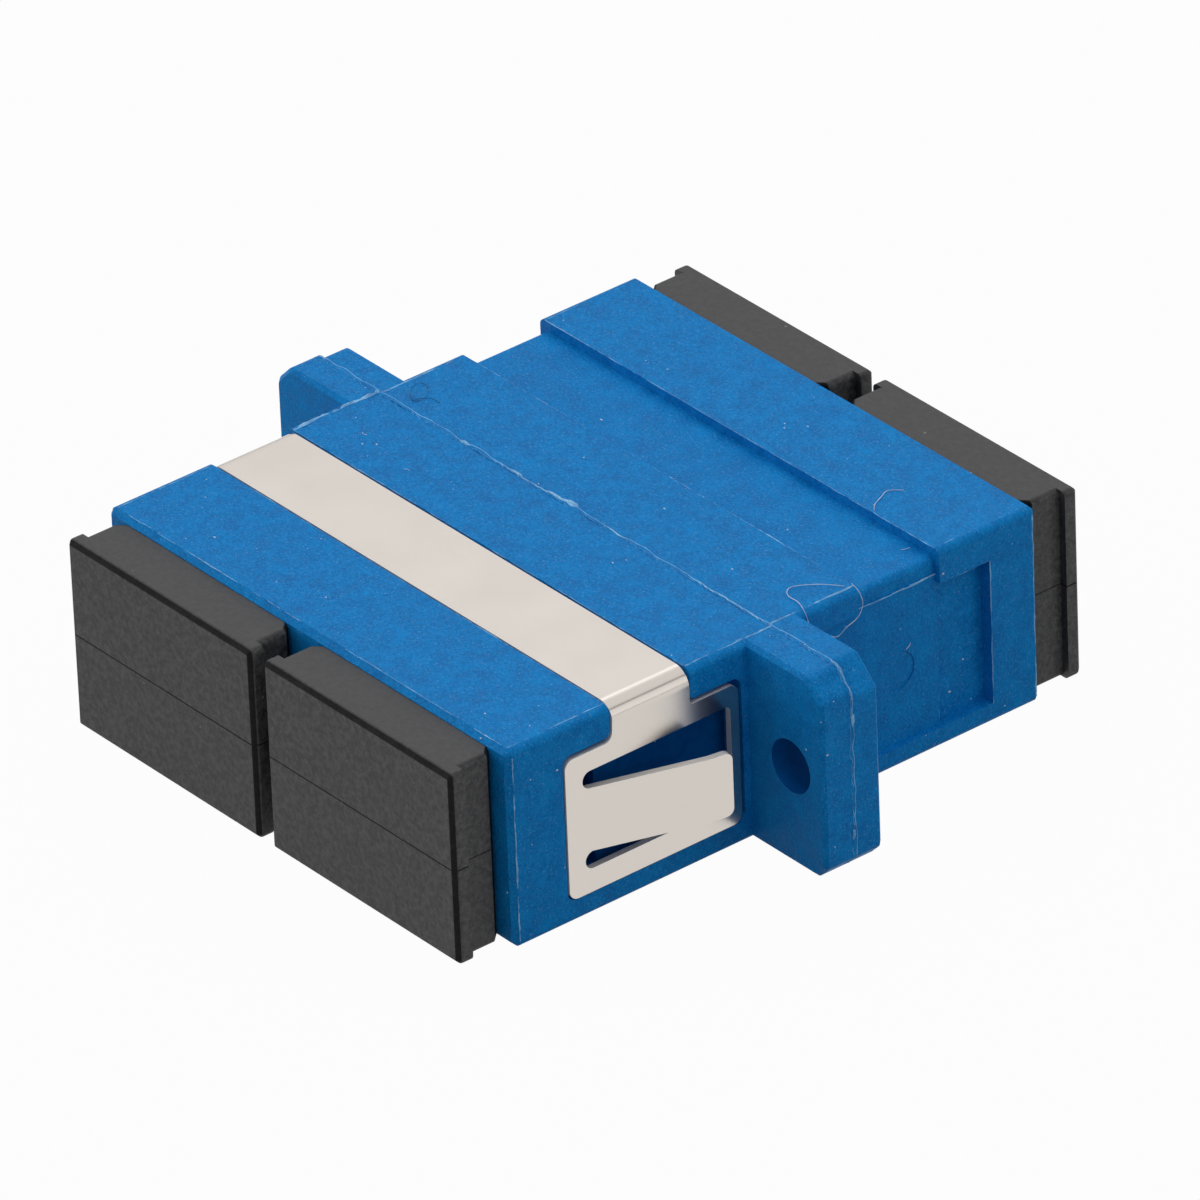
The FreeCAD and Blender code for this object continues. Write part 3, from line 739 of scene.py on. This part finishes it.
class ADAPTER_OT_caps(Operator):
    """Finish the four dust caps, with their parting lines and textured end faces"""
    bl_idname = "adapter.caps"
    bl_label = "Dust caps"

    SMOOTH, GRAINED, DARK = 0, 1, 2       # slots: tops, ends and flanks, and painted shade on edges, grooves and the drawn-in neck
    END, RIM, FLANK = 0.985, 0.6, 0.8     # least share of such a face's normal that points out
    SQUARE_SHARE = 0.5                    # width of the square edges over that of the blunt ones
    TUCK, TUCK_DEPTH = 0.36, 0.306        # length of the neck's drawn-in stretch, and its depth
    NECK_SIDE = 5.0                       # the neck's sides are further than this from its middle
    END_SLACK, SIDE_SLACK = 0.02, 0.01    # how far inside the cap's box its end and sides may be

    def execute(self, context):
        settings = context.scene.adapter.caps
        finishes = (
            soft_black("soft_black_ldpe", settings.top, linear("#3E3E40"), 0.45, 1.45),
            soft_black("textured_black_ldpe", settings.face, linear("#585858"), 0.62, 1.4),
            # the third finish is painted shade: the dark line along the edges between end and top,
            # the parting groove and the drawn-in neck
            soft_black("painted_shade_black_ldpe", linear("#121213"), linear("#242425"), 0.5, 1.18),
        )
        for name in CAPS:
            shape = merged_copy(name)
            outward = -1 if name.startswith("front") else 1
            mouth = (FRONT_MOUTH if outward < 0 else REAR_MOUTH) * MM
            low, high = (Vector(corner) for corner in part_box(name))
            middle = (low + high) / 2
            self.tuck_neck(shape, middle.x, outward, mouth)
            soften_edges(shape, settings.edge / MM, BLUNT_CORNERS, segments=3)
            soften_edges(shape, self.SQUARE_SHARE * settings.edge / MM, SQUARE_CORNERS)
            self.parting_line(shape, low, high, outward, settings.parting)
            shape.normal_update()
            for face in shape.faces:
                face.material_index = self.finish(face, outward, mouth, middle.z,
                                                  settings.parting)
            mesh = finished_mesh(shape, name + "_moulding")
            piece = add_piece(name + "_moulding", mesh, name, (name,))
            give_material(piece, *finishes)
            keep_flat(piece)
        return {"FINISHED"}

    def finish(self, face, outward, mouth, middle, depth):
        """The slot of a cap's face, from where it lies and which way it is turned."""
        heights = [vert.co.z for vert in face.verts]
        low, high = min(heights), max(heights)
        in_groove = (high - low < 1.5 * depth and abs(face.normal.z) < 0.9
                     and low < middle + 0.1 * NEAR * MM and high > middle - 0.1 * NEAR * MM)
        along = (face.calc_center_median().y - mouth) * outward
        in_tuck = abs(face.normal.x) > 0.3 and 0 < along < self.TUCK * MM
        facing = face.normal.y * outward
        # grooves, the drawn-in neck and the edges between end and top get the painted shade
        if in_groove or in_tuck:
            return self.DARK
        if facing > self.END or abs(face.normal.x) > self.FLANK:
            return self.GRAINED
        return self.DARK if facing > self.RIM else self.SMOOTH

    def tuck_neck(self, shape, middle, outward, mouth):
        """Draw the neck in at both sides just before the mouth, which leaves a gap; finish paints
        its shade.
        """
        start = mouth + outward * self.TUCK * MM
        cut_across(shape, (0, start, 0), (0, 1, 0))
        for vert in shape.verts:
            along = (start - vert.co.y) * outward / MM
            reach = vert.co.x - middle
            if NEAR < along < self.TUCK and abs(reach) > self.NECK_SIDE * MM:
                vert.co.x -= math.copysign(self.TUCK_DEPTH * MM, reach)

    def parting_line(self, shape, low, high, outward, depth):
        """Score a fine groove round the end plate at its middle height."""
        middle = (low + high) / 2
        face_y = low.y if outward < 0 else high.y
        for rise in (-depth, 0.0, depth):
            cut_across(shape, (0, 0, middle.z + rise), (0, 0, 1))
        for vert in shape.verts:
            if abs(vert.co.z - middle.z) > NEAR * MM:
                continue
            if abs(vert.co.y - face_y) < self.END_SLACK * MM:
                vert.co.y -= outward * depth
            for side in (low.x, high.x):
                if abs(vert.co.x - side) < self.SIDE_SLACK * MM:
                    vert.co.x += math.copysign(depth, middle.x - side)


class ADAPTER_OT_latches(Operator):
    """Finish the latch inserts behind the ports"""
    bl_idname = "adapter.latches"
    bl_label = "Latch inserts"

    def execute(self, context):
        acetal = natural_latch()
        for name in LATCHES:
            give_material(frame["nodes"][name], acetal)
        return {"FINISHED"}


class ADAPTER_OT_sleeves(Operator):
    """Finish the split alignment sleeves"""
    bl_idname = "adapter.sleeves"
    bl_label = "Alignment sleeves"

    def execute(self, context):
        ceramic = ground_ceramic()
        for name in SLEEVES:
            give_material(frame["nodes"][name], ceramic)
        return {"FINISHED"}


class ADAPTER_OT_dust(Operator):
    """Scatter the few dust specks and the curled lint that lie on the housing"""
    bl_idname = "adapter.dust"
    bl_label = "Dust and lint"

    # how the dust falls: the direction of each shower, and how many specks it lets fall
    SHOWERS = (((0, 0, -1), 90), ((-1, 0, 0), 40), ((1, 0, 0), 40), ((0, 1, 0), 12),
               ((0, -1, 0), 12))
    SHOWER_REACH = 0.1            # how far off each speck starts, in metres
    SPECK = (0.018, 0.05)         # half widths of the smallest and the largest speck
    STRETCH, FLATNESS, DENTS = (0.7, 1.8), 0.4, 0.2     # a speck's shape, as shares of that
    LINT_THICKNESS, HAIR_THICKNESS = 0.038, 0.02
    # routes of the lint over the housing
    LINT = (
        ((12.2, 5.6, 4.66), (11.6, 5.0, 4.72), (11.0, 4.4, 4.66), (10.8, 3.9, 4.64),
         (11.2, 3.5, 4.64), (12.0, 3.4, 4.7), (12.6, 3.25, 4.5), (12.72, 3.4, 3.9),
         (12.74, 4.1, 3.3), (12.74, 4.7, 2.9), (12.76, 5.2, 3.15), (12.74, 5.8, 3.35),
         (12.72, 6.1, 3.8), (12.66, 6.0, 4.4), (12.3, 5.9, 4.7)),
        ((11.0, 9.6, 4.17), (11.1, 9.75, 4.2), (11.12, 9.95, 4.18)),
        ((12.39, 8.78, 0.76), (12.4, 8.7, 0.66), (12.39, 8.55, 0.54)),
        ((8.5, 10.3, 4.62), (8.2, 10.6, 4.66), (7.9, 11.2, 4.64), (7.7, 11.7, 4.63),
         (8.1, 12.2, 4.62)),
        ((-10.35, -1.0, 4.62), (-10.2, -1.08, 4.64), (-10.05, -1.0, 4.62)),
        ((-6.9, -1.6, 4.62), (-6.78, -1.52, 4.65), (-6.66, -1.5, 4.62)),
    )
    # route of the dark hair that lies behind the seam, on the left
    HAIR = ((-10.0, 2.78, 4.62), (-10.5, 2.74, 4.64), (-10.8, 2.45, 4.63), (-10.95, 2.1, 4.63),
            (-11.5, 2.45, 4.64), (-11.84, 2.95, 4.63), (-11.72, 3.24, 4.64), (-11.28, 3.18, 4.64),
            (-10.82, 2.74, 4.65), (-10.68, 2.35, 4.64), (-10.8, 2.15, 4.62))

    def execute(self, context):
        dusty = pale_dust()
        dark = soft_black("dark_brown_hair", linear("#0C1420"), linear("#1E2A3C"), 0.5, 1.4)
        self.add_dust("dust_specks", dusty, self.specks, random.Random(7))
        self.add_dust("lint", dusty, self.fibres, self.LINT, self.LINT_THICKNESS)
        self.add_dust("dark_hair", dark, self.fibres, (self.HAIR,), self.HAIR_THICKNESS)
        return {"FINISHED"}

    def add_dust(self, name, material, fill, *how):
        """Make one piece of one material, whose shape the function fill makes."""
        shape = bmesh.new()
        fill(shape, *how)
        piece = add_piece(name, finished_mesh(shape, name), ROOT)
        give_material(piece, material)

    def specks(self, shape, chance):
        """Small flat flakes where each shower's straight lines meet the halves."""
        solid = bmesh.new()
        for name in HOUSINGS + CAPS:
            solid.from_mesh(frame["nodes"][name].data)
        tree = BVHTree.FromBMesh(solid)
        solid.free()
        low, high = Vector(CAD_BOX[0]), Vector(CAD_BOX[1])
        for direction, count in self.SHOWERS:
            direction = Vector(direction)
            for _ in range(count):
                place = Vector(chance.uniform(a, b) for a, b in zip(low, high))
                spot, normal, _, _ = tree.ray_cast(place - direction * self.SHOWER_REACH,
                                                   direction)
                if spot is None or normal.dot(direction) > -0.5 or self.on_cap(spot):
                    continue
                turn = normal.to_track_quat("Z", "Y").to_matrix().to_4x4()
                size = chance.uniform(*self.SPECK) * MM
                shift = Matrix.Translation(spot) @ turn @ Matrix.Diagonal(
                    (size * chance.uniform(*self.STRETCH), size, self.FLATNESS * size, 1.0))
                made = bmesh.ops.create_icosphere(shape, subdivisions=1, radius=1.0, matrix=shift)
                for vert in made["verts"]:
                    vert.co += Vector(chance.uniform(-self.DENTS, self.DENTS) * size
                                      for _ in range(3))

    def on_cap(self, spot):
        """Whether a spot lies beyond the halves' mouths, on the caps, which stay clean."""
        return not FRONT_MOUTH - NEAR < spot.y / MM < REAR_MOUTH + NEAR

    def fibres(self, shape, routes, thickness_mm):
        """Fine threads that follow their routes, smoothed between the points."""
        for route in routes:
            self.fibre(shape, [Vector(point) for point in route], thickness_mm)

    def fibre(self, shape, route, thickness_mm):
        """One thread: a grid rolled into a four-sided tube round the route."""
        steps_a_run, sides, look = 5, 4, 0.05
        skew = Vector((0.31, 0.42, 0.85))      # no route runs this way
        runs = len(route) - 1
        made = bmesh.ops.create_grid(shape, x_segments=steps_a_run * runs, y_segments=sides,
                                     size=0.5)
        for vert in made["verts"]:
            share, turn = (vert.co.x + 0.5) * runs, (0.5 - vert.co.y) * 2 * math.pi
            middle = self.along(route, share)
            forward = (self.along(route, min(share + look, runs))
                       - self.along(route, max(share - look, 0))).normalized()
            across = forward.cross(skew).normalized()
            up = forward.cross(across)
            thick = 0.5 * thickness_mm * (0.8 + 0.5 * noise.noise(middle * 3.0))
            vert.co = (middle + (across * math.cos(turn) + up * math.sin(turn)) * thick) * MM
        bmesh.ops.remove_doubles(shape, verts=made["verts"], dist=0.1 * NEAR * MM)

    def along(self, route, share):
        """A point of a smooth curve through the route's points, share runs from its start."""
        i = min(int(share), len(route) - 2)
        t = share - i
        a, b, c, d = (route[min(max(k, 0), len(route) - 1)] for k in (i - 1, i, i + 1, i + 2))
        return 0.5 * (2 * b + (c - a) * t + (2 * a - 5 * b + 4 * c - d) * t ** 2
                      + (3 * b - a - 3 * c + d) * t ** 3)


class ADAPTER_OT_stage(Operator):
    """Set the pale floor, the soft lamps and the camera"""
    bl_idname = "adapter.stage"
    bl_label = "Stage"

    FLOOR_REACH = 2.0             # from the middle to the floor's sides, in metres
    FLOOR_GAP = 0.002             # the floor lies this far below the lowest point

    def execute(self, context):
        self.floor()
        self.lamps()
        self.camera(context)
        context.scene.view_settings.view_transform = "Standard"
        return {"FINISHED"}

    def floor(self):
        """Lay white paper under the adapter."""
        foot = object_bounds()[0][2]
        shape = bmesh.new()
        bmesh.ops.create_grid(shape, x_segments=1, y_segments=1, size=self.FLOOR_REACH)
        bmesh.ops.translate(shape, vec=(0, 0, foot - self.FLOOR_GAP * MM), verts=shape.verts)
        mesh = bpy.data.meshes.new("floor")
        shape.to_mesh(mesh)
        shape.free()
        floor = bpy.data.objects.new("floor", mesh)
        bpy.context.scene.collection.objects.link(floor)
        give_material(floor, white_paper())
        floor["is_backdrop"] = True

    def lamps(self):
        """Light the adapter with a plain sky and the softboxes, all aimed at its middle."""
        world = bpy.data.worlds.new("studio")
        world.use_nodes = True
        bpy.context.scene.world = world
        tree = world.node_tree
        place = add_node(tree, "ShaderNodeTexCoord")
        height = add_node(tree, "ShaderNodeSeparateXYZ", links={"Vector": (place, "Generated")})
        strength = add_node(tree, "ShaderNodeMapRange", {"interpolation_type": "SMOOTHSTEP"},
                            {"From Min": 0.0, "From Max": 0.5,
                             "To Min": HORIZON, "To Max": ZENITH}, {"Value": (height, "Z")})
        sky = tree.nodes["Background"]
        sky.inputs["Color"].default_value = (1, 1, 1, 1)
        tree.links.new(strength.outputs["Result"], sky.inputs["Strength"])
        for name, place, size, brightness in LAMPS:
            data = bpy.data.lights.new(name, "AREA")
            data.size = size
            data.energy = brightness * math.pi * size ** 2
            lamp = bpy.data.objects.new(name, data)
            bpy.context.scene.collection.objects.link(lamp)
            lamp.location = place
            aim = (Vector((0, 0, 0)) - Vector(place)).to_track_quat("-Z", "Y")
            lamp.rotation_euler = aim.to_euler()

    def camera(self, context):
        """Stand the camera far off, with a long lens, above the right front corner."""
        aim = Vector(VIEW_AIM) * MM
        azimuth, elevation, roll = (math.radians(angle) for angle in VIEW_ANGLES)
        back = Vector((math.sin(azimuth) * math.cos(elevation),
                       -math.cos(azimuth) * math.cos(elevation), math.sin(elevation)))
        data = bpy.data.cameras.new("camera")
        data.sensor_width = 36.0
        data.lens = VIEW_LENS
        data.clip_start, data.clip_end = 0.01, 20.0
        camera = bpy.data.objects.new("camera", data)
        context.scene.collection.objects.link(camera)
        turn = back.to_track_quat("Z", "Y").to_matrix() @ Matrix.Rotation(roll, 3, "Z")
        camera.matrix_world = Matrix.Translation(aim + back * VIEW_DISTANCE * MM) @ turn.to_4x4()
        context.scene.camera = camera


class ADAPTER_PT_looks(Panel):
    """Lists the pieces of the adapter's looks"""
    bl_idname = "ADAPTER_PT_looks"
    bl_label = "Fibre adapter"
    bl_space_type = "VIEW_3D"
    bl_region_type = "UI"
    bl_category = "Adapter"

    def draw(self, context):
        settings = context.scene.adapter
        for group in (settings.housing, settings.clip, settings.caps):
            for name in group.__annotations__:
                self.layout.prop(group, name)
        for operator in OPERATORS:
            self.layout.operator(operator.bl_idname)


OPERATORS = (ADAPTER_OT_housings, ADAPTER_OT_mould_lines, ADAPTER_OT_weld_bead, ADAPTER_OT_clip,
             ADAPTER_OT_caps, ADAPTER_OT_latches, ADAPTER_OT_sleeves, ADAPTER_OT_dust,
             ADAPTER_OT_stage)
GROUPS = (HousingSettings, ClipSettings, CapSettings, AdapterSettings)
CLASSES = GROUPS + OPERATORS + (ADAPTER_PT_looks,)


def register():
    """Register every class, and keep the settings on the scene."""
    for cls in CLASSES:
        bpy.utils.register_class(cls)
    bpy.types.Scene.adapter = PointerProperty(type=AdapterSettings)


def unregister():
    """Undo what register does."""
    del bpy.types.Scene.adapter
    for cls in reversed(CLASSES):
        bpy.utils.unregister_class(cls)


def main():
    """Make all the looks in order."""
    register()
    bpy.ops.adapter.housings()
    bpy.ops.adapter.mould_lines()
    bpy.ops.adapter.weld_bead()
    bpy.ops.adapter.clip()
    bpy.ops.adapter.caps()
    bpy.ops.adapter.latches()
    bpy.ops.adapter.sleeves()
    bpy.ops.adapter.dust()
    bpy.ops.adapter.stage()


if __name__ == "__main__":
    main()
